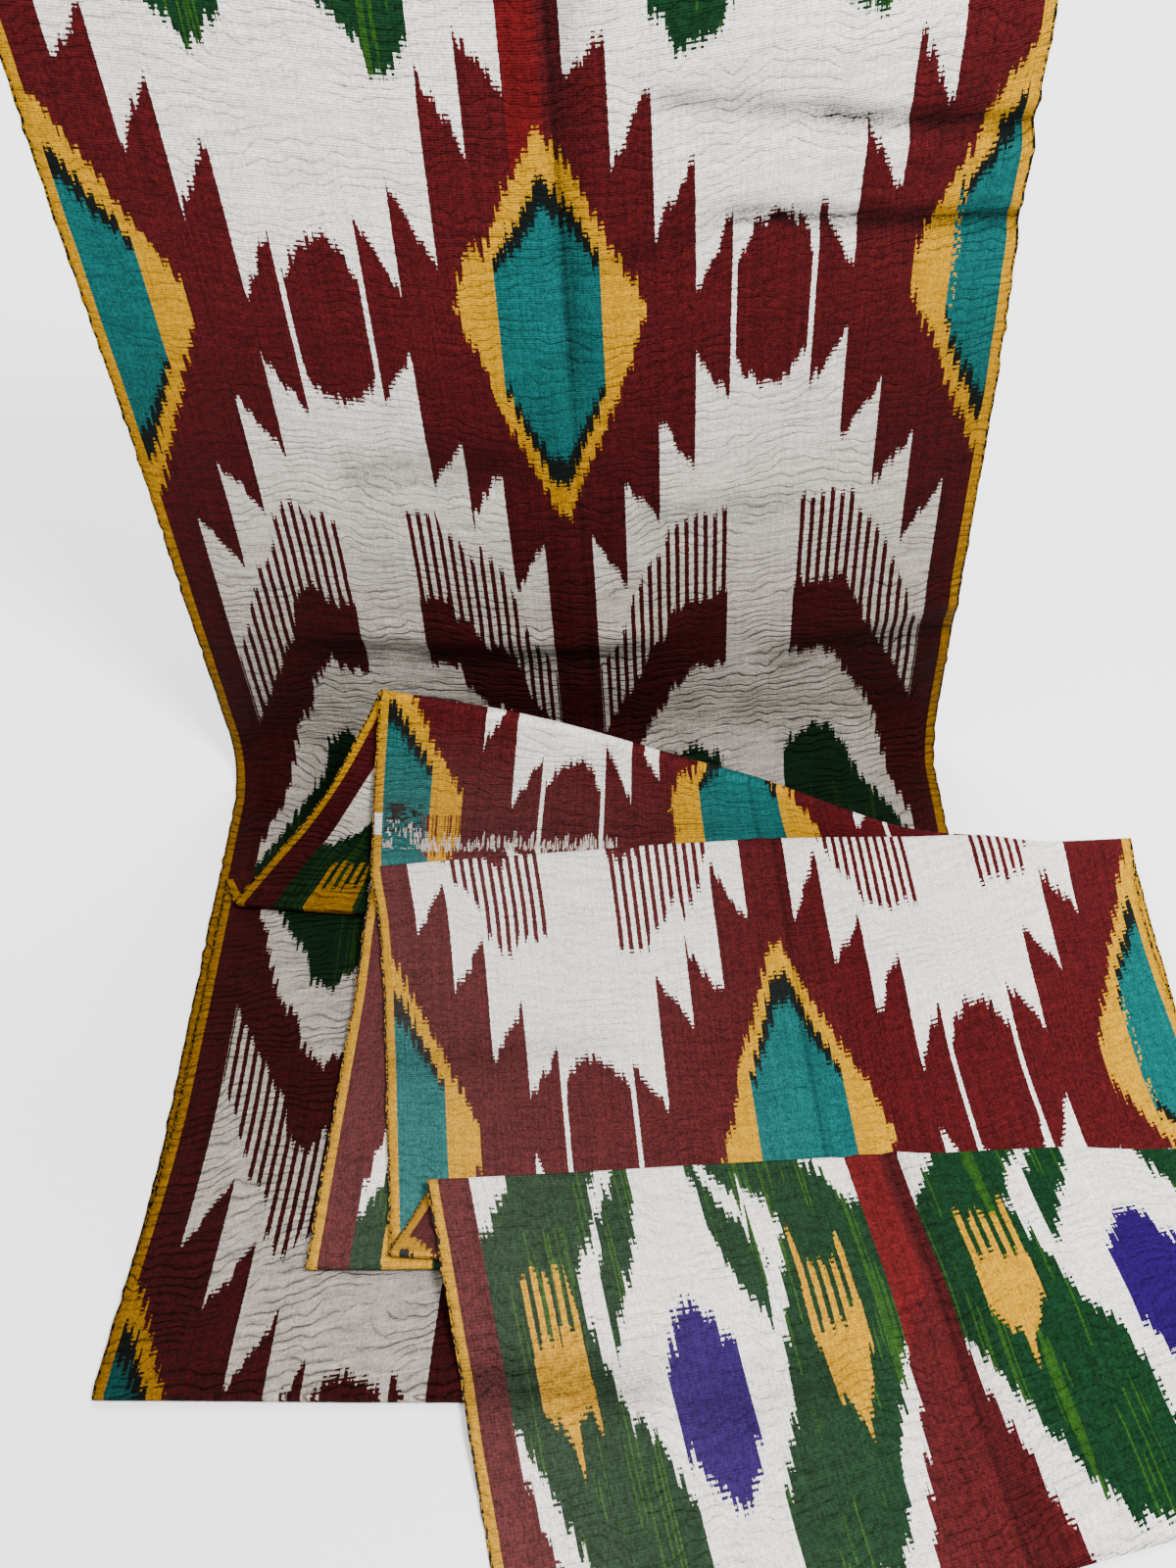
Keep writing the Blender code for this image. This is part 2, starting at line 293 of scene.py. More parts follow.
def turn_rows(before, after):
    """Rows that turn the cloth round from the end of one stretch into the start of the next."""
    rows = [[] for _ in range(TURN_ROWS)]
    for column in range(COLUMNS + 1):
        start, end = before[-1][column], after[0][column]
        leaving = (start - before[-2][column]).to_3d().normalized()
        arriving = (after[1][column] - end).to_3d().normalized()
        angle = leaving.angle(arriving)
        handle = (end - start).to_3d().length * 2 / 3 * math.tan(angle / 4) / math.sin(angle / 2)
        near_start = start.to_3d() + leaving * handle
        near_end = end.to_3d() - arriving * handle
        for number, row in enumerate(rows):
            share = (number + 1) / (TURN_ROWS + 1)
            rest = 1 - share
            place = (start.to_3d() * rest ** 3 + near_start * 3 * rest ** 2 * share
                     + near_end * 3 * rest * share ** 2 + end.to_3d() * share ** 3)
            row.append(Vector((*place, start.w * rest + end.w * share)))
    return rows


def crease_height(crease, u, dyed):
    """How far one crease lifts the cloth at a place on it."""
    start = Vector((crease.from_u, crease.from_s))
    run = Vector((crease.to_u, crease.to_s)) - start
    place = Vector((u, dyed)) - start
    share = place.dot(run) / run.length_squared
    run_in = share + CREASE_RUN_OUT
    run_out = 1 + CREASE_RUN_OUT - share
    if run_in <= 0 or run_out <= 0:
        return 0.0
    away = abs(place.cross(run)) / run.length
    away += CREASE_WANDER * noise.noise(Vector((u, dyed, 0)) * CREASE_WANDERS)
    fade = smoothstep(run_in / CREASE_FADE) * smoothstep(run_out / CREASE_FADE)
    return crease.height * fade * math.exp(-(away / crease.width) ** 2)


def hollow_depth(u, dyed):
    sunk = -sum(min(crease_height(crease, u, dyed), 0) for crease in CREASES)
    return min(sunk / DEEPEST_CREASE, 1)


# Soft waves of handled cloth. across and along are how many go to the metre.

Wave = namedtuple("Wave", "across along seed height")
BROAD_WAVE = Wave(9, 9, 1.7, 0.0011)
CROSS_WAVE = Wave(14, 55, 4.1, 0.00045)
FINE_WAVE = Wave(60, 150, 8.3, 0.00012)
RAGGED_EDGE = Wave(1, 160, 2.9, 0.0012)


def wave_height(wave, u, dyed):
    return wave.height * noise.noise(Vector((u * wave.across, dyed * wave.along, wave.seed)))


def unevenness(u, dyed, freedom):
    """How far the soft waves lift the cloth, less where other layers lie close."""
    free_waves = wave_height(BROAD_WAVE, u, dyed) + wave_height(CROSS_WAVE, u, dyed)
    return free_waves * freedom + wave_height(FINE_WAVE, u, dyed)


def sheet_rows():
    """Every row of the cloth's middle surface, in the part's own frame, with its creases pressed in."""
    parts = [stretch_rows(stretch) for stretch in STRETCHES]
    rows = list(parts[0])
    freedoms = [HANGING_FREEDOM] * len(parts[0])
    for before, after, stretch in zip(parts, parts[1:], STRETCHES[1:]):
        rows += turn_rows(before, after) + after
        freedom = TOP_FREEDOM if stretch.name == "top layer" else STACK_FREEDOM
        freedoms += [STACK_FREEDOM] * TURN_ROWS + [freedom] * len(after)
    plain = [[point.to_3d() for point in row] for row in rows]
    for index, row in enumerate(rows):
        for column, point in enumerate(row):
            u, dyed = CLOTH_WIDTH * column / COLUMNS, point.w
            normal = surface_normal(plain, index, column)
            if normal.z - normal.y < 0:
                normal.negate()
            lift = sum(crease_height(crease, u, dyed) for crease in CREASES)
            lift += unevenness(u, dyed, freedoms[index])
            moved = plain[index][column] + normal * lift
            if column in (0, COLUMNS):
                moved.x += wave_height(RAGGED_EDGE, column, dyed)
            moved.z = max(moved.z, SHEET_THICKNESS / 2)
            row[column] = Vector((*(moved - FOOTPRINT_MIDDLE), dyed))
    return rows


def surface_normal(rows, row, column):
    above, below = rows[max(row - 1, 0)], rows[min(row + 1, len(rows) - 1)]
    across = rows[row][min(column + 1, COLUMNS)] - rows[row][max(column - 1, 0)]
    along = below[column] - above[column]
    return along.cross(across).normalized()


def sheet_mesh(rows):
    """Gives the middle surface its thickness, and each corner its place on the flat cloth."""
    plain = [[point.to_3d() for point in row] for row in rows]
    shell = bmesh.new()
    flat = shell.loops.layers.uv.new("flat_cloth")
    depth = shell.verts.layers.float.new(HOLLOW)
    places = {}
    sides = []
    for side in (SHEET_THICKNESS / 2, -SHEET_THICKNESS / 2):
        grid = []
        for row, points in enumerate(rows):
            line = []
            for column, point in enumerate(points):
                vertex = shell.verts.new(plain[row][column] + surface_normal(plain, row, column) * side)
                places[vertex] = (CLOTH_WIDTH * column / COLUMNS, point.w)
                vertex[depth] = hollow_depth(*places[vertex])
                line.append(vertex)
            grid.append(line)
        sides.append(grid)
    for grid in sides:
        for upper, lower in zip(grid, grid[1:]):
            for column in range(COLUMNS):
                shell.faces.new((upper[column], upper[column + 1], lower[column + 1], lower[column]))
    front, back = sides
    for edge in (0, COLUMNS):
        for row in range(len(rows) - 1):
            shell.faces.new((front[row][edge], front[row + 1][edge], back[row + 1][edge], back[row][edge]))
    for end in (0, -1):
        for column in range(COLUMNS):
            shell.faces.new((front[end][column], front[end][column + 1],
                             back[end][column + 1], back[end][column]))
    bmesh.ops.recalc_face_normals(shell, faces=shell.faces)
    for face in shell.faces:
        face.smooth = True
        for loop in face.loops:
            loop[flat].uv = places[loop.vert]
    mesh = bpy.data.meshes.new("ikat_sheet")
    shell.to_mesh(mesh)
    shell.free()
    return mesh


# The dyed pattern. All its sizes are in millimetres of flat cloth. u is the place across the cloth, and s is
# the place in its length. The pattern is drawn in half motifs: reach is the distance from a motif's centre
# line, and along is the distance from the middle of the maroon waist.

WIDTH = CLOTH_WIDTH * 1000
REPEAT = 640
MIRROR = 1280                   # where the dyeing turns back on itself
MOTIF_CENTRE = 101.5            # from the cloth's centre line
MIDDLE_OF_CLOTH = 211
DIAMOND_SPACING = 205
FIRST_LINE = 20
LINE_PITCH = 4.95
LINE_HALF = 1.2
LINE_OVERLAP = 2
COLUMN_HALF = 17.8
COLUMN_LINE = 17.7              # the reach of the pale lines beside the waist's column
COLUMN_LINE_HALF = 1.15
COLUMN_LINE_END = 52
MOTIF_HALF = 89
GREEN_HALF = 89.3
COMB_CENTRE = 63
COMB_HALF = 12.6
TINE_PITCH = 5.1
TINE_HALF = 1.35
TINES_ALONG = (391, 415)
RED_BAND_ACROSS = (199, 214)
RED_BAND_ALONG = (300, 570)
TEAL_SHORTER = 1.25
SELVEDGE_BAND = 5.4
RIM = 1.3                       # the selvedge's outermost threads
RIM_DOT = 0.5
RIM_DOTS_FROM = 0.40
THREAD = 0.42
BUNDLE = 1.8                    # warp threads that were tied and dyed together
STEP = 3.4                      # about two bundles
WEFT_PITCH = 1.15
LEAST_REACH = 0.4
STREAK = 0.9
STREAKS_FROM = 0.96
ROW_PATCH = 1.3
ROW_SHIFT = 0.3
STEP_SHIFT = 0.7

# What keeps the random numbers of neighbouring rows, dashes and dots apart
NEXT_ROW = 17.0
NEXT_DASH_ALONG = 5
NEXT_DASH_ACROSS = 13
NEXT_DOT = 7
DASH_OFFSET = 0.37

# How far the dyeing creeps along the warp
THREAD_CREEP = 2.2
BUNDLE_CREEP = 7.0
DASH_CREEP = 3.4
EVEN_CREEP = 0.8
WANDER_CREEP = 6.0

# The marks left where the dyeing turns back: the places in u and in s where each kind lies
TEETH_ROOT = 1301.0
TEETH_ACROSS = (27, 138)
TOOTH = 0.55
TOOTH_LENGTH = 12.0
TEETH_SWELL = 16
TEETH_SHORTER = 7.5
TEETH_ROOTS_APART = 6.0
TEETH_FROM = 0.20
BLOTS_ALONG = (1270, 1287)
BLOTS_ACROSS = (7, 27)
BLOT_DASH = (3.0, 0.8)
BLOT_SHARE = 0.35
BLOTS_FROM = 0.68
FLECKS_ALONG = (1280, 1298)
FLECKS_ACROSS = (6, 27)
FLECK_DASH = (0.7, 2.6)
FLECK_SHARE = 0.60
FLECKS_FROM = 0.95
BLEEDING_ALONG = (1276, 1305)
BLEEDING_ACROSS = (26, 48)
BLEEDING_FROM = 0.60
FADED_ALONG = (1276, 1289)
FADED_ACROSS = (0.9, 5.4)

# The furthest key or value in the curves below
FURTHEST_REACH = 105
FURTHEST_WAIST = 400
FURTHEST_SLIP = 20
FURTHEST_S = 2500

# Curves keyed by reach, giving along
WAIST_ENDS = ((0, 42), (6, 41), (12, 36), (16, 26), (17.6, 22), (18, 50), (35, 21), (35.4, 84), (53, 51),
              (53.4, 112), (71, 84), (71.4, 151), (89, 116), (89.4, 400), (105, 400))
WAIST_STARTS = ((0, 43), (6, 41), (12, 34), (16, 25), (17.6, 22), (18, 47), (35, 10), (35.4, 74), (53, 42),
                (53.4, 108), (71, 75), (71.4, 132), (89, 111), (89.4, 400), (105, 400))
LINES_START = ((0, 112), (44, 112), (56, 135), (66, 150), (76, 180), (89, 212), (105, 240))
ARCH_STARTS = ((0, 168), (45, 168), (52, 185), (61, 203), (70, 222), (82, 246), (89, 262), (105, 300))
DOME_STARTS = ((0, 219), (35, 219), (45, 228), (54, 245), (61, 258), (68, 268), (74, 294), (77, 305),
               (80, 320), (84, 333), (87, 345), (89, 360), (105, 400))
GREEN_STARTS = ((0, 300), (18, 288), (24, 280), (32, 276), (42, 276), (50, 284), (55, 293), (63, 311),
                (69, 320), (74, 335), (79, 345), (83, 355), (87, 363), (92, 368), (92.4, 640), (105, 640))
GREEN_ENDS = ((0, 500), (18, 507), (24, 514), (30, 520), (36, 524), (42, 522), (47, 514), (52, 507),
              (56, 498), (62, 480), (69, 460), (73, 450), (80, 439), (84, 433), (92, 427), (92.4, 0),
              (105, 0))

# Curves keyed by along, giving reach
LOZENGE = ((0, 17.8), (330, 18.5), (348, 25), (368, 36), (390, 43), (406, 47), (418, 49.5), (430, 44),
           (437, 38), (445, 34), (453, 29), (460, 24), (467, 17.8), (640, 17.8))
LEAF_OUTER = ((0, 0), (390, 0), (393, 36.5), (406, 38.5), (423, 37.5), (435, 34), (445, 26), (453, 22),
              (462, 16), (465, 0), (640, 0))
LEAF_INNER = ((0, 100), (390, 100), (393, 36), (406, 28), (423, 19.5), (435, 16.5), (453, 13), (462, 12),
              (465, 100), (640, 100))
SEED = ((0, 0), (327, 0), (335, 9), (343, 14), (350, 17), (370, 17.4), (380, 16.5), (387, 12), (396, 8),
        (399, 0), (640, 0))
COMB_BODY = ((0, 0), (349, 0), (352, 1.1), (361, 1.6), (364, 6), (368, 10), (372, 12.2), (392, 12.2),
             (394, 0), (640, 0))
# Curves keyed by along and half a repeat, so that the middle of the waist is at 320
DIAMOND_YELLOW = ((0, 0), (225.5, 0), (238, 8), (248, 14), (273, 25), (298, 38), (313, 43), (323, 42),
                  (348, 31), (373, 21), (398, 10), (418, 3), (423, 0), (640, 0))
DIAMOND_DARK = ((0, 0), (245.5, 0), (263, 12), (275.5, 19), (283, 23.5), (348, 23.5), (363, 19),
                (378, 12), (398, 5), (405.5, 0), (640, 0))


# How crumpled the cloth is, and how much painted shade and greyer, warmer whites darken it along its length,
# keyed by s
CRUMPLED = ((0, 0.45), (140, 0.75), (220, 1.0), (1040, 1.0), (1190, 0.60), (1300, 0.32), (1700, 0.32),
            (2050, 0.32), (2500, 0.55))
GREYED_AND_SHADED_ALONG = ((0, 0.02), (60, 0.24), (130, 0.46), (240, 0.68), (1040, 0.64), (1170, 0.14), (1300, 0.00),
          (2500, 0.04))

# Whole bundles of warp slipped along the cloth when it was tied, keyed by u
BUNDLE_SLIP = ((0, 0), (56.3, 0), (56.5, 9), (74.3, 9), (74.5, 0), (127.3, 0), (127.5, 9), (144.7, 9),
               (144.9, -5), (162.7, -5), (162.9, 10), (180.5, 10), (180.7, 0), (420, 0))

Dye = namedtuple("Dye", "colour deep")
DYES = {
    "maroon": Dye((0.084, 0.0054, 0.0070), (0.018, 0.0011, 0.0017)),
    "red": Dye((0.118, 0.0050, 0.0062), (0.036, 0.0016, 0.0021)),
    "white": Dye((0.900, 0.860, 0.800), (0.540, 0.505, 0.455)),
    "yellow": Dye((0.545, 0.268, 0.001), (0.265, 0.122, 0.001)),
    "teal": Dye((0.003, 0.112, 0.104), (0.001, 0.042, 0.044)),
    "black": Dye((0.004, 0.007, 0.006), (0.002, 0.003, 0.003)),
    "green": Dye((0.004, 0.034, 0.010), (0.001, 0.010, 0.003)),
    "leaf": Dye((0.022, 0.072, 0.006), (0.005, 0.028, 0.004)),
    "indigo": Dye((0.017, 0.001, 0.092), (0.007, 0.001, 0.038)),
    "pale weft and sheen": Dye((0.560, 0.470, 0.430), (0.280, 0.220, 0.200)),
}

# Smooth noise over the cloth. across and along are how many waves go to the millimetre.

Field = namedtuple("Field", "across along detail roughness")
WANDER = Field(0.05, 0.012, 2.0, 0.5)
STREAKED = Field(0.07, 0.012, 2.0, 0.5)
TEETH_LENGTHS = Field(0.12, 0.004, 2.0, 0.5)
SMUDGE = Field(0.11, 0.09, 2.0, 0.5)
PATCHES = Field(0.9, 0.02, 3.0, 0.6)
FIBRES = Field(2.2, 0.8, 2.0, 0.8)
DRIFT = Field(0.018, 0.020, 1.0, 0.5)
RIPPLE = Field(0.09, 0.05, 1.0, 0.5)
PRESSED = Field(0.03, 0.045, 2.0, 0.5)
WAVES = Field(0.05, 0.26, 3.0, 0.6)
GRAIN = Field(0.7, 0.9, 3.0, 0.8)

# How wide a thread and a knot of one tone are, and what keeps their random numbers apart
TONE_THREAD = 0.5
TONE_KNOT = 0.8
NEXT_KNOT = 31
NEXT_KNOT_ROW = 1.7

# How much each thing adds to a dye's tone, from its plain colour at 0 to its deep colour at 1
THREAD_TONE = 0.22
PATCH_TONE = 0.55
FIBRE_TONE = 0.70
KNOT_TONE = 0.60
PLAIN_TONE = 0.52

# Painted sheen: how far the colour is mixed towards the pale weft on the left of the folded part, standing in
# for the silk's glare
PAINTED_SHEEN = 0.045
PAINTED_SHEEN_LEFT = 1.05
PAINTED_SHEEN_FALL = 0.0042
PAINTED_SHEEN_FROM = 1215
PAINTED_SHEEN_OVER = 60.0
PAINTED_SHEEN_FIBRE = 1.6
PAINTED_SHEEN_EVEN = 0.2

# The pressed wavy lines of older folds, and the painted shade and painted highlight of the long fold down the
# cloth's middle
WAVE_PITCH = 5.2
DRIFTING = 5.0
RIPPLING = 1.3
VALLEY_SHARPNESS = 3.0
PRESSED_FROM = 0.31
PRESSED_RISE = 4.0
LONG_VALLEY = 219
LONG_VALLEY_FALL = 0.45
LONG_VALLEY_SHADE = 0.32
LONG_RIDGE = 213
LONG_RIDGE_FALL = 0.25
LONG_RIDGE_HIGHLIGHT = 0.14

# How much painted shade each thing puts into the cloth's colour, and how high each thing stands in metres
CRUMPLED_SHADE = 1.05
SMOOTH_SHADE = 0.15
RIB_SHADE = 0.08
GRAIN_SHADE = 1.10
CRINKLE_SHADE = 0.50
HOLLOW_SHADE = 0.80
GREYING = (("Red", 0.0), ("Green", 0.10), ("Blue", 0.18))
RIB_RELIEF = 0.00010
CRUMPLED_RELIEF = 0.0015
SMOOTH_RELIEF = 0.0004
CRINKLE_RELIEF = 0.0014
GRAIN_RELIEF = 0.00030
BUMP_STRENGTH = 0.9
CLOTH_ROUGHNESS = 0.78
CLOTH_SPECULAR = 0.06


class Measure:
    """A number worked out at each point of a material, written as plain arithmetic."""

    def __init__(self, tree, socket):
        self.tree = tree
        self.socket = socket

    def combine(self, operation, *others):
        node = self.tree.nodes.new("ShaderNodeMath")
        node.operation = operation
        self.tree.links.new(self.socket, node.inputs[0])
        for slot, other in enumerate(others, 1):
            if isinstance(other, Measure):
                self.tree.links.new(other.socket, node.inputs[slot])
            else:
                node.inputs[slot].default_value = other
        return Measure(self.tree, node.outputs[0])

    def __add__(self, other):
        return self.combine("ADD", other)

    def __sub__(self, other):
        return self.combine("SUBTRACT", other)

    def __mul__(self, other):
        return self.combine("MULTIPLY", other)

    def __truediv__(self, other):
        return self.combine("DIVIDE", other)

    def below(self, other):
        return self.combine("LESS_THAN", other)

    def above(self, other):
        return self.combine("GREATER_THAN", other)

    def size(self):
        return self.combine("ABSOLUTE")

    def whole(self):
        return self.combine("FLOOR")

    def wrapped(self, length):
        return self.combine("FLOORED_MODULO", length)

    def least(self, other):
        return self.combine("MINIMUM", other)

    def most(self, other):
        return self.combine("MAXIMUM", other)

    def either(self, other):
        return self.most(other)

    def both(self, other):
        return self.combine("MULTIPLY", other)

    def chance(self, seed=0.0):
        """A number from 0 to 1 that differs for each whole value."""
        node = self.tree.nodes.new("ShaderNodeTexWhiteNoise")
        node.noise_dimensions = "1D"
        self.tree.links.new((self + seed).socket, node.inputs["W"])
        return Measure(self.tree, node.outputs["Value"])

    def read(self, curve, key_reach, value_reach):
        """The value of a curve of (key, value) points at this number."""
        node = self.tree.nodes.new("ShaderNodeFloatCurve")
        points = node.mapping.curves[0].points
        scaled = [(key / key_reach, value / value_reach) for key, value in curve]
        points[0].location = scaled[0]
        points[1].location = scaled[-1]
        for place in scaled[1:-1]:
            points.new(*place)
        for point in points:
            point.handle_type = "VECTOR"
        node.mapping.update()
        self.tree.links.new((self / key_reach).socket, node.inputs["Value"])
        return Measure(self.tree, node.outputs["Value"]) * value_reach


def field(tree, u, s, kind):
    """Smooth noise from 0 to 1, stretched differently across and along the cloth."""
    joined = tree.nodes.new("ShaderNodeCombineXYZ")
    tree.links.new((u * kind.across).socket, joined.inputs["X"])
    tree.links.new((s * kind.along).socket, joined.inputs["Y"])
    texture = tree.nodes.new("ShaderNodeTexNoise")
    texture.noise_dimensions = "2D"
    texture.inputs["Scale"].default_value = 1.0
    texture.inputs["Detail"].default_value = kind.detail
    texture.inputs["Roughness"].default_value = kind.roughness
    tree.links.new(joined.outputs["Vector"], texture.inputs["Vector"])
    return Measure(tree, texture.outputs["Fac"])


def comb_of_lines(reach, centre, pitch, half):
    """1 on each of a row of evenly spaced lines."""
    return ((reach - centre) / pitch + 0.5).wrapped(1).combine("SUBTRACT", 0.5).size().below(half / pitch)


def between(number, low, high):
    return number.above(low).both(number.below(high))


def near(number, place, fall):
    """1 at a place, falling to 0 on both sides of it."""
    return ((number - place).size() * -fall + 1).most(0.0)


def dashed(u, s, dash, seed):
    """A random number for each small dash, whose size is given across and along the cloth."""
    across, along = dash
    place = (s / along).whole() * NEXT_DASH_ALONG + (u / across).whole() * NEXT_DASH_ACROSS
    return place.chance(seed)


def dyeing_spread(tree, u, s):
    """How far the dyeing has crept along the warp at a place, by thread, bundle and row of weft."""
    thread = (u / THREAD).whole().chance(3.0) - 0.5
    bundle = (u / BUNDLE).whole().chance(11.0) - 0.5
    dash = (u / BUNDLE + DASH_OFFSET).whole().chance(19.0) * DASH_CREEP + EVEN_CREEP
    alternate = (s / WEFT_PITCH).whole().wrapped(2) - 0.5
    wander = field(tree, u, s, WANDER) - 0.5
    slip = u.read(BUNDLE_SLIP, WIDTH, FURTHEST_SLIP)
    return (thread * THREAD_CREEP + bundle * BUNDLE_CREEP + alternate * dash
            + wander * WANDER_CREEP + slip)


def waist_and_arch_masks(signed, along, reach, stepped_reach):
    """The white around the waist with its pale lines, and the maroon arch with the lines under it."""
    waist_end = reach.read(WAIST_ENDS, FURTHEST_REACH, FURTHEST_WAIST)
    waist_start = reach.read(WAIST_STARTS, FURTHEST_REACH, FURTHEST_WAIST)
    pale = signed.above(waist_end).either((signed * -1).above(waist_start))
    column_lines = (reach - COLUMN_LINE).size().below(COLUMN_LINE_HALF)
    column_lines = column_lines.both(signed.size().below(COLUMN_LINE_END))
    outside_column = reach.above(COLUMN_HALF)
    lines_start = reach.read(LINES_START, FURTHEST_REACH, FURTHEST_WAIST)
    arch_start = reach.read(ARCH_STARTS, FURTHEST_REACH, FURTHEST_WAIST)
    dome_start = stepped_reach.read(DOME_STARTS, FURTHEST_REACH, FURTHEST_WAIST)
    arch = outside_column.both(between(along, arch_start, dome_start))
    lines = outside_column.both(comb_of_lines(reach, FIRST_LINE, LINE_PITCH, LINE_HALF))
    lines = lines.both(between(along, lines_start, arch_start + LINE_OVERLAP)).both(reach.below(MOTIF_HALF))
    return (
        ("white", pale.either(column_lines)),
        ("maroon", arch.either(lines)),
    )


def green_masks(tree, u, s, along, reach, stepped_reach):
    """The green leaves around the lozenge, with the seed and the combs in them."""
    green_start = stepped_reach.read(GREEN_STARTS, FURTHEST_REACH, REPEAT)
    green_end = stepped_reach.read(GREEN_ENDS, FURTHEST_REACH, REPEAT)
    green = between(along, green_start, green_end)
    green = green.both(stepped_reach.above(along.read(LOZENGE, REPEAT, FURTHEST_REACH)))
    green = green.both(between(reach, COLUMN_HALF, GREEN_HALF))
    leaf_inner = along.read(LEAF_INNER, REPEAT, FURTHEST_REACH)
    leaf_outer = along.read(LEAF_OUTER, REPEAT, FURTHEST_REACH)
    green = green.either(between(stepped_reach, leaf_inner, leaf_outer))
    streaks = (u / STREAK).whole().chance(29.0) * 0.5 + field(tree, u, s, STREAKED)
    seed = stepped_reach.below(along.read(SEED, REPEAT, FURTHEST_REACH)).both(reach.below(COLUMN_HALF))
    from_comb = (reach - COMB_CENTRE).size()
    comb = from_comb.below(along.read(COMB_BODY, REPEAT, FURTHEST_REACH))
    tines = comb_of_lines(reach, COMB_CENTRE, TINE_PITCH, TINE_HALF)
    tines = tines.both(from_comb.below(COMB_HALF)).both(between(along, *TINES_ALONG))
    return (
        ("green", green),
        ("leaf", green.both(streaks.above(STREAKS_FROM))),
        ("indigo", seed),
        ("yellow", comb.either(tines)),
    )


def diamond_masks(from_waist, signed, diamond_reach):
    shorter = signed * TEAL_SHORTER + REPEAT / 2
    return (
        ("yellow", diamond_reach.below(from_waist.read(DIAMOND_YELLOW, REPEAT, FURTHEST_REACH))),
        ("black", diamond_reach.below(from_waist.read(DIAMOND_DARK, REPEAT, FURTHEST_REACH))),
        ("teal", diamond_reach.below(shorter.read(DIAMOND_DARK, REPEAT, FURTHEST_REACH))),
    )


def turning_masks(tree, u, s):
    """The marks that the dyeing leaves where it turns back."""
    tooth = (u / TOOTH).whole().chance(31.0)
    height = tooth * TOOTH_LENGTH + field(tree, u, s, TEETH_LENGTHS) * TEETH_SWELL - TEETH_SHORTER
    above_root = s * -1 + TEETH_ROOT - (u / TOOTH).whole().chance(47.0) * TEETH_ROOTS_APART
    teeth = between(above_root, 0, height).both(between(u, *TEETH_ACROSS)).both(tooth.above(TEETH_FROM))
    smudge = field(tree, u, s, SMUDGE)
    blots = (dashed(u, s, BLOT_DASH, 37.0) * BLOT_SHARE + smudge).above(BLOTS_FROM)
    blots = blots.both(between(s, *BLOTS_ALONG)).both(between(u, *BLOTS_ACROSS))
    flecks = (dashed(u, s, FLECK_DASH, 53.0) * FLECK_SHARE + smudge).above(FLECKS_FROM)
    flecks = flecks.both(between(s, *FLECKS_ALONG)).both(between(u, *FLECKS_ACROSS))
    bleeding = tooth.above(BLEEDING_FROM)
    bleeding = bleeding.both(between(s, *BLEEDING_ALONG)).both(between(u, *BLEEDING_ACROSS))
    return (
        ("red", bleeding),
        ("black", blots),
        ("pale weft and sheen", teeth.either(flecks)),
    )


def selvedge_masks(u, s):
    """The yellow bands down both sides, faded at one place, with dark dots on their outermost threads."""
    selvedge = u.below(SELVEDGE_BAND).either(u.above(WIDTH - SELVEDGE_BAND))
    rim = u.below(RIM).either(u.above(WIDTH - RIM))
    dots = ((s / WEFT_PITCH).whole() + (u / RIM_DOT).whole() * NEXT_DOT).chance(23.0)
    return (
        ("yellow", selvedge),
        ("white", between(s, *FADED_ALONG).both(between(u, *FADED_ACROSS))),
        ("black", rim.both(dots.above(RIM_DOTS_FROM))),
    )


def pattern_masks(tree, u, s):
    """Where each dye lies, as (dye name, mask) in the order in which they cover each other."""
    # the dyeing runs forward to its mirror line and then back again
    forward = (s - MIRROR).size() * -1 + MIRROR + dyeing_spread(tree, u, s)
    along = forward.wrapped(REPEAT)
    from_waist = (forward + REPEAT / 2).wrapped(REPEAT)
    signed = from_waist - REPEAT / 2
    row_shift = ((s / WEFT_PITCH).whole() * NEXT_ROW + (u / ROW_PATCH).whole()).chance(5.0) - 0.5
    from_centre = (u - MIDDLE_OF_CLOTH).size()
    reach = ((from_centre - MOTIF_CENTRE).size() + row_shift * ROW_SHIFT).most(LEAST_REACH)
    # curved outlines climb in steps
    stepped = ((u / STEP).whole() + 0.5) * STEP + row_shift * STEP_SHIFT
    stepped_centre = (stepped - MIDDLE_OF_CLOTH).size()
    stepped_reach = (stepped_centre - MOTIF_CENTRE).size().most(LEAST_REACH)
    diamond_reach = stepped_centre.least((stepped_centre - DIAMOND_SPACING).size()).most(LEAST_REACH)
    return (
        ("red", between(u, *RED_BAND_ACROSS).both(between(along, *RED_BAND_ALONG))),
        *waist_and_arch_masks(signed, along, reach, stepped_reach),
        *green_masks(tree, u, s, along, reach, stepped_reach),
        *diamond_masks(from_waist, signed, diamond_reach),
        *turning_masks(tree, u, s),
        *selvedge_masks(u, s),
    )


def mixed_colour(tree, share, first, second):
    """A mix of two colours, each a plain colour or the output of an earlier mix."""
    node = tree.nodes.new("ShaderNodeMix")
    node.data_type = "RGBA"
    tree.links.new(share.socket, node.inputs["Factor"])
    for name, colour in (("A", first), ("B", second)):
        socket = next(slot for slot in node.inputs if slot.name == name and slot.type == "RGBA")
        if isinstance(colour, tuple):
            socket.default_value = (*colour, 1)
        else:
            tree.links.new(colour, socket)
    return next(slot for slot in node.outputs if slot.type == "RGBA")


def crinkles(tree, u, s, crumpled):
    """The pressed wavy lines of older folds, each a narrow valley between broad low swells."""
    drift = field(tree, u, s, DRIFT)
    ripple = field(tree, u, s, RIPPLE)
    phase = s / WAVE_PITCH + drift * DRIFTING + ripple * RIPPLING
    valley = (phase * math.pi).combine("SINE").size() * -1 + 1
    valley = valley.combine("POWER", VALLEY_SHARPNESS)
    strength = (field(tree, u, s, PRESSED) - PRESSED_FROM) * PRESSED_RISE
    return valley * strength.most(0.0).least(1.0) * crumpled


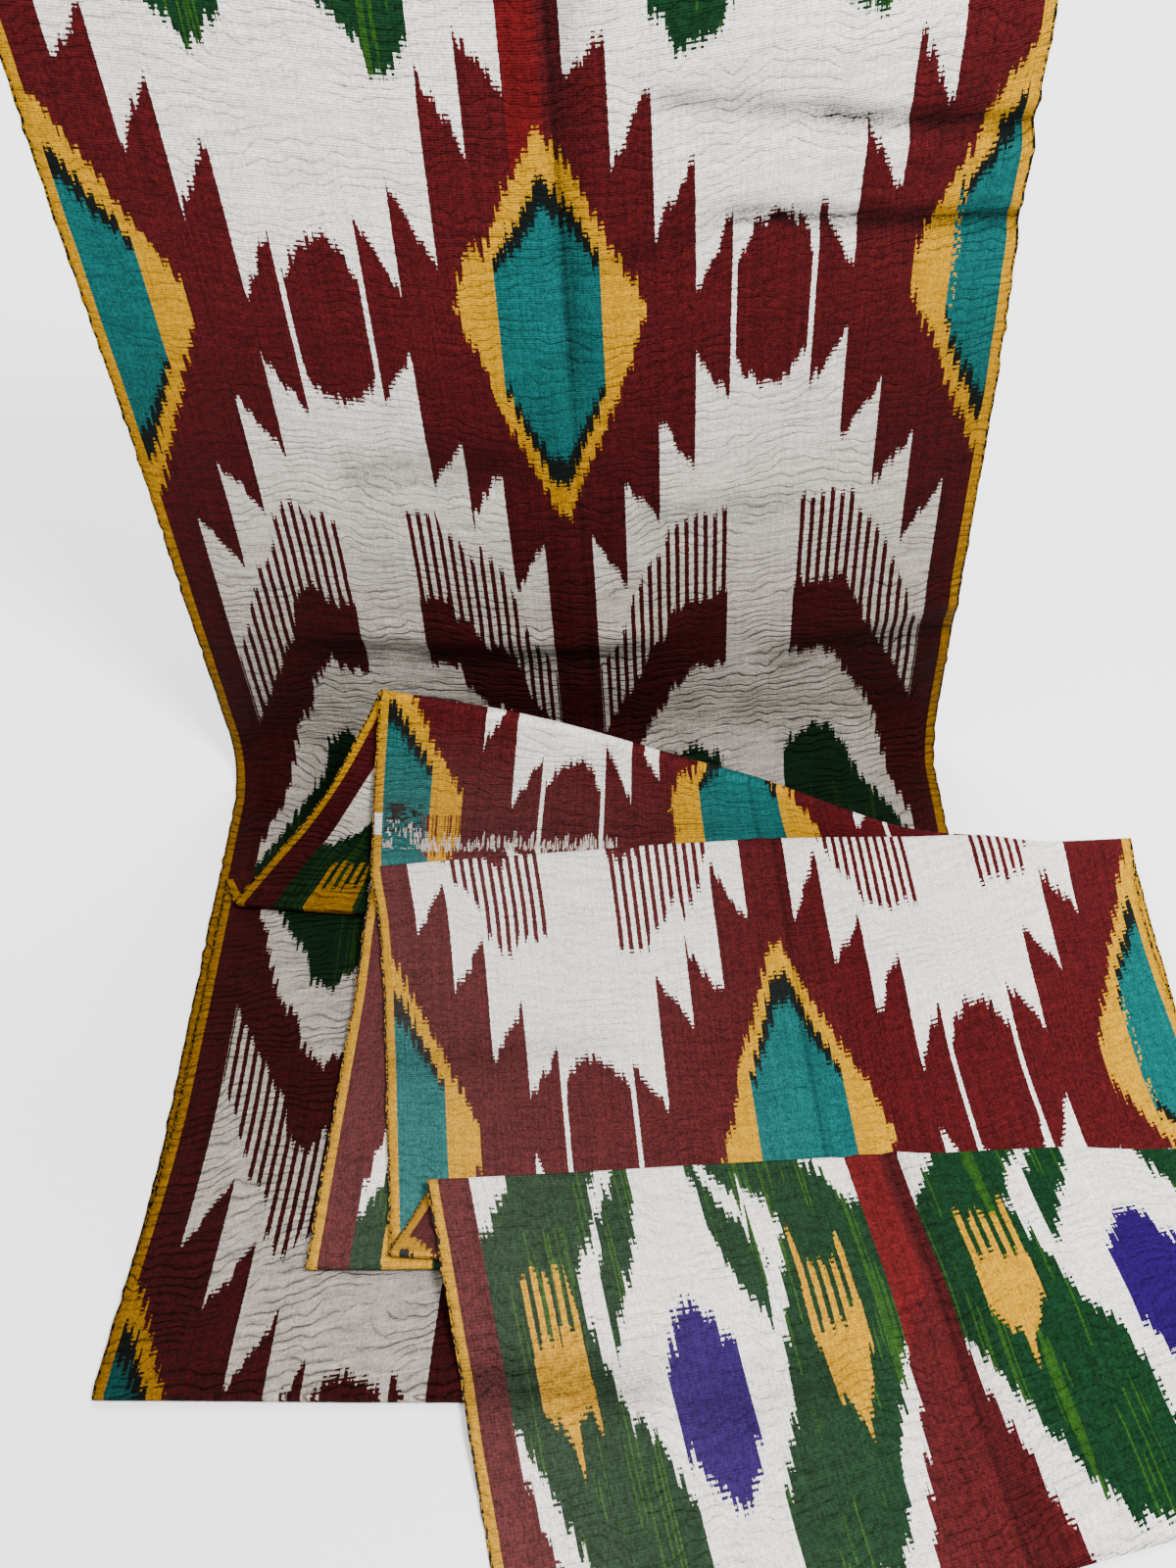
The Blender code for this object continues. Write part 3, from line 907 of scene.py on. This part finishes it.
def dyed_colour_with_sheen(tree, u, s):
    """The dyes in their pattern, with each thread's own tone, and a painted sheen towards the pale weft
    colour on the left of the folded part.
    """
    thread_tone = (u / TONE_THREAD).whole().chance(41.0)
    patch_tone = field(tree, u, s, PATCHES)
    fibre_tone = field(tree, u, s, FIBRES)
    knot_tone = ((u / TONE_KNOT).whole() * NEXT_KNOT + (s / WEFT_PITCH).whole() * NEXT_KNOT_ROW).chance(43.0)
    tone = (thread_tone * THREAD_TONE + patch_tone * PATCH_TONE + fibre_tone * FIBRE_TONE
            + knot_tone * KNOT_TONE - PLAIN_TONE)
    colour = mixed_colour(tree, tone, *DYES["maroon"])
    for name, mask in pattern_masks(tree, u, s):
        dye = mixed_colour(tree, tone, *DYES[name])
        colour = mixed_colour(tree, mask, colour, dye)
    # painted sheen: the silk's glare on the left of the folded layers, painted as a mix towards the pale weft
    # colour
    on_the_left = (u * -PAINTED_SHEEN_FALL + PAINTED_SHEEN_LEFT).most(0.0).least(1.0)
    in_the_folds = (s - PAINTED_SHEEN_FROM).most(0.0).least(PAINTED_SHEEN_OVER)
    painted_sheen_amount = on_the_left * in_the_folds * PAINTED_SHEEN / PAINTED_SHEEN_OVER
    painted_sheen_mix = painted_sheen_amount * (fibre_tone * PAINTED_SHEEN_FIBRE + PAINTED_SHEEN_EVEN)
    return mixed_colour(tree, painted_sheen_mix, colour, mixed_colour(tree, tone, *DYES["pale weft and sheen"]))


def shaded_colour(tree, colour, shade, greyed_and_shaded):
    """A colour made darker by the painted shade, and a little yellower where the painted shade along the
    cloth lies.
    """
    brightness = tree.nodes.new("ShaderNodeMix")
    brightness.data_type = "RGBA"
    brightness.blend_type = "MULTIPLY"
    brightness.inputs["Factor"].default_value = 1.0
    value = tree.nodes.new("ShaderNodeCombineColor")
    for channel, yellowing in GREYING:
        tree.links.new((shade * (greyed_and_shaded * -yellowing + 1)).socket, value.inputs[channel])
    inputs = [slot for slot in brightness.inputs if slot.type == "RGBA"]
    tree.links.new(colour, inputs[0])
    tree.links.new(value.outputs["Color"], inputs[1])
    return next(slot for slot in brightness.outputs if slot.type == "RGBA")


def ikat_material():
    """Warp ikat: the dyed motifs, the ribbed weave and the pressed surface, with painted shade in its creases
    and along its lower length, and a painted sheen on the left of the folds.
    """
    material = bpy.data.materials.new("ikat_dyed_weave")
    material.use_nodes = True
    tree = material.node_tree
    shader = tree.nodes["Principled BSDF"]
    flat = tree.nodes.new("ShaderNodeUVMap")
    flat.uv_map = "flat_cloth"
    split = tree.nodes.new("ShaderNodeSeparateXYZ")
    tree.links.new(flat.outputs["UV"], split.inputs["Vector"])
    u = Measure(tree, split.outputs["X"]) * 1000
    s = Measure(tree, split.outputs["Y"]) * 1000

    # the curves have no values before the pattern's start
    after_start = s.most(0.0)
    crumpled = after_start.read(CRUMPLED, FURTHEST_S, 1)
    greyed_and_shaded = after_start.read(GREYED_AND_SHADED_ALONG, FURTHEST_S, 1)
    crinkle = crinkles(tree, u, s, crumpled)
    # painted shade down the long fold's valley and a painted highlight on its ridge
    long_fold_shade_and_highlight = (near(u, LONG_VALLEY, LONG_VALLEY_FALL) * LONG_VALLEY_SHADE
                 - near(u, LONG_RIDGE, LONG_RIDGE_FALL) * LONG_RIDGE_HIGHLIGHT)
    rib = (s / WEFT_PITCH * math.tau).combine("SINE")
    waves = field(tree, u, s, WAVES)
    grain = field(tree, u, s, GRAIN)
    # painted shade: the cloth is darker the deeper it lies in a crease
    hollow = tree.nodes.new("ShaderNodeAttribute")
    hollow.attribute_name = HOLLOW
    sunk = Measure(tree, hollow.outputs["Fac"])
    # painted shade: the waves, ribs, grain and crinkle valleys darken the colour as their relief would be
    # shaded
    shade = (waves - 0.5) * (crumpled * CRUMPLED_SHADE + SMOOTH_SHADE)
    shade = shade + rib * RIB_SHADE + (grain - 0.5) * GRAIN_SHADE
    shade = shade - crinkle * CRINKLE_SHADE - long_fold_shade_and_highlight - sunk * HOLLOW_SHADE + 1.0
    # painted shade: the lower hanging length and the first floor stretches are darkened along s for the
    # light's fall-off there, together with greyer handled whites
    shade = shade * (greyed_and_shaded * -1 + 1)
    colour = shaded_colour(tree, dyed_colour_with_sheen(tree, u, s), shade, greyed_and_shaded)
    tree.links.new(colour, shader.inputs["Base Color"])

    relief = (rib * RIB_RELIEF + waves * (crumpled * CRUMPLED_RELIEF + SMOOTH_RELIEF)
              - crinkle * CRINKLE_RELIEF + grain * GRAIN_RELIEF)
    bump = tree.nodes.new("ShaderNodeBump")
    bump.inputs["Strength"].default_value = BUMP_STRENGTH
    bump.inputs["Distance"].default_value = 1.0
    tree.links.new(relief.socket, bump.inputs["Height"])
    tree.links.new(bump.outputs["Normal"], shader.inputs["Normal"])
    shader.inputs["Roughness"].default_value = CLOTH_ROUGHNESS
    shader.inputs["Specular IOR Level"].default_value = CLOTH_SPECULAR
    return material


def build_cloth():
    cloth = bpy.data.objects.new("ikat_sheet", sheet_mesh(sheet_rows()))
    bpy.context.scene.collection.objects.link(cloth)
    cloth.data.materials.append(ikat_material())
    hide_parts("ikat_cloth")
    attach(cloth, "root")


FLOOR_SIZE = 12
FLOOR_DROP = 0.0005             # under the cloth, so that the two never meet in one plane
FLOOR_COLOUR = (0.95, 0.95, 0.95, 1)
FLOOR_ROUGHNESS = 0.9


def build_floor():
    bpy.ops.mesh.primitive_plane_add(size=FLOOR_SIZE, location=(0, 0, -FLOOR_DROP))
    floor = bpy.context.object
    floor.name = "floor"
    material = bpy.data.materials.new("pale_floor")
    material.use_nodes = True
    shader = material.node_tree.nodes["Principled BSDF"]
    shader.inputs["Base Color"].default_value = FLOOR_COLOUR
    shader.inputs["Roughness"].default_value = FLOOR_ROUGHNESS
    floor.data.materials.append(material)


Light = namedtuple("Light", "name place aim size power")
LIGHTS = (
    Light("key", (0.34, -0.42, 1.15), (-0.05, 0.10, 0.15), 0.25, 32),
    Light("broad", (-0.6, -0.6, 3.2), (0, 0, 0), 2.4, 62),
    Light("behind", (0, 2.2, 2.0), (0, 1.9, 0), 2.4, 190),
)
SKY_STRENGTH = 0.40


def build_lights():
    for light in LIGHTS:
        data = bpy.data.lights.new(light.name, "AREA")
        data.size = light.size
        data.energy = light.power
        lamp = bpy.data.objects.new(light.name, data)
        lamp.location = light.place
        lamp.rotation_euler = (Vector(light.aim) - Vector(light.place)).to_track_quat("-Z", "Y").to_euler()
        lamp.visible_camera = False
        bpy.context.scene.collection.objects.link(lamp)
    world = bpy.data.worlds.new("studio")
    bpy.context.scene.world = world
    world.use_nodes = True
    world.node_tree.nodes["Background"].inputs["Color"].default_value = (1, 1, 1, 1)
    world.node_tree.nodes["Background"].inputs["Strength"].default_value = SKY_STRENGTH


CAMERA_PLACE = Vector((0.0297, -0.602, 0.6166))     # in the solids' own drawing frame
CAMERA_PITCH = 46.86
CAMERA_ROLL = 4.65
CAMERA_YAW = -2.75
CAMERA_LENS = 32.625
SENSOR_HEIGHT = 36
NEAREST_SEEN = 0.01


def build_camera():
    data = bpy.data.cameras.new("camera")
    data.sensor_fit = "VERTICAL"
    data.sensor_height = SENSOR_HEIGHT
    data.lens = CAMERA_LENS
    data.clip_start = NEAREST_SEEN
    camera = bpy.data.objects.new("camera", data)
    turn = (Matrix.Rotation(math.radians(-CAMERA_YAW), 4, "Z")
            @ Matrix.Rotation(math.radians(90 - CAMERA_PITCH), 4, "X")
            @ Matrix.Rotation(math.radians(-CAMERA_ROLL), 4, "Z"))
    camera.matrix_world = Matrix.Translation(CAMERA_PLACE - FOOTPRINT_MIDDLE) @ turn
    bpy.context.scene.collection.objects.link(camera)
    bpy.context.scene.camera = camera


build_camera()
build_floor()
build_lights()
build_cloth()
